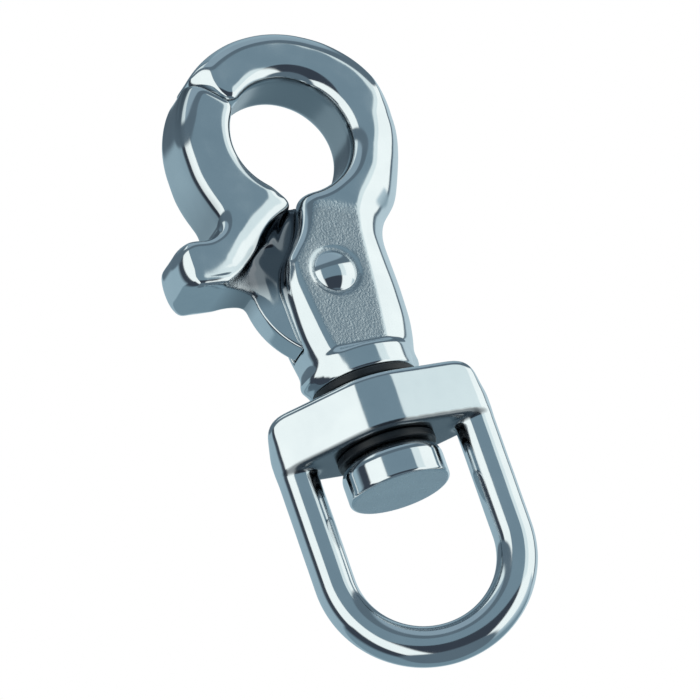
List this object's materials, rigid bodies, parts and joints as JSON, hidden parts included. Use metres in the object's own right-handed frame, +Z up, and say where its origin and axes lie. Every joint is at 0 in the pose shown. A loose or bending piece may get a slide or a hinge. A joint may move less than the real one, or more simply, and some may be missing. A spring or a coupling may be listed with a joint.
{
  "type": "snap shackle",
  "caption": "Trigger snap shackle: a claw closed by a sprung gate with a thumb tab, on a shank that swivels on a U-shaped bail.",
  "frame": {"origin": "centre of the hook's eye, at mid-thickness", "axes": "+Z up the swivel axis, away from the bail; +X to the right and +Y to the back, seen from the front of the shank"},
  "size_m": [0.0408, 0.0184, 0.0999],
  "materials": {
    "forged_steel": "mirror-polished stainless steel forging, cast grain left in the shank's recess",
    "turned_steel": "turned and polished stainless steel, satin end faces",
    "spring_wire": "drawn stainless spring wire",
    "black_acetal": "matte black acetal"
  },
  "bodies": {
    "hook": {"hook_body": "forged_steel", "gate_pin": "turned_steel", "gate_spring": "spring_wire", "upper_washer": "black_acetal", "lower_washer": "black_acetal", "swivel_stud": "turned_steel"},
    "gate": {"gate": "forged_steel"},
    "bail": {"bail": "forged_steel"}
  },
  "joints": [
    {"name": "gate_hinge", "type": "hinge", "parent": "hook", "child": "gate", "pos_m": [-0.0008, 0, -0.0223], "axis": [0, -1, 0], "range_deg": [0, 24], "stiffness_Nm_per_rad": 0.15, "springref_deg": -34.38, "deforming": ["gate_spring"]},
    {"name": "bail_swivel", "type": "hinge", "parent": "hook", "child": "bail", "pos_m": [0, 0, -0.044], "axis": [0, 0, 1], "continuous": true}
  ]
}
